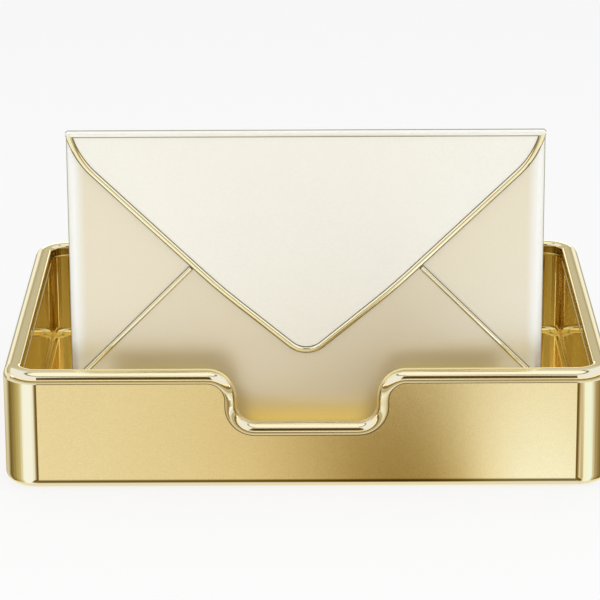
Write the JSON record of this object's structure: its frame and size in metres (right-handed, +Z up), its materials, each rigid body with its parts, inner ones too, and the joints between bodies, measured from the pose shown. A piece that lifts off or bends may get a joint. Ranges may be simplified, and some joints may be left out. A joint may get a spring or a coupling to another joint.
{
  "type": "mail tray with standing letter case",
  "caption": "Open desk tray with thick rounded walls and a finger notch; an envelope-shaped letter case with a hinged flap stands in it.",
  "frame": {"origin": "middle of the tray's footprint, on the surface its feet rest on", "axes": "+Z up, +Y from the notched front wall to the back, +X to the right seen from the front"},
  "size_m": [0.294, 0.23, 0.1743],
  "materials": {
    "tray_gold": "gold-plated casting, satin outside, polished rim and inside",
    "foot_rubber": "moulded",
    "screw_steel": "zinc-plated",
    "channel_gold": "gold anodised",
    "strip_rubber": "matt",
    "back_champagne": "champagne anodised, satin",
    "rail_pearl": "pale champagne anodised, satin",
    "side_champagne": "champagne anodised, satin",
    "bottom_champagne": "champagne anodised, satin",
    "seam_gold": "polished",
    "pin_brass": "polished",
    "flap_cream": "cream anodised, satin",
    "bead_gold": "polished"
  },
  "bodies": {
    "tray": {"tray_shell": "tray_gold", "foot_front_left": "foot_rubber", "foot_front_right": "foot_rubber", "foot_rear_left": "foot_rubber", "foot_rear_right": "foot_rubber", "seat_channel": "channel_gold", "seat_strip": "strip_rubber", "channel_screws": "screw_steel"},
    "letter_case": {"envelope_back": "back_champagne", "side_rail_left": "rail_pearl", "side_rail_right": "rail_pearl", "bottom_rail": "rail_pearl", "side_flap_left": "side_champagne", "side_flap_right": "side_champagne", "bottom_flap": "bottom_champagne", "seam_trim_left": "seam_gold", "seam_trim_right": "seam_gold", "hinge_pin": "pin_brass"},
    "flap": {"top_flap": "flap_cream", "flap_trim": "bead_gold"}
  },
  "joints": [
    {"name": "envelope_lift", "type": "slide", "parent": "tray", "child": "letter_case", "axis": [0, 0, 1], "range_m": [0, 0.062]},
    {"name": "flap_hinge", "type": "hinge", "parent": "letter_case", "child": "flap", "pos_m": [0, -0.0816, 0.1702], "axis": [-1, 0, 0], "range_deg": [0, 180]}
  ]
}
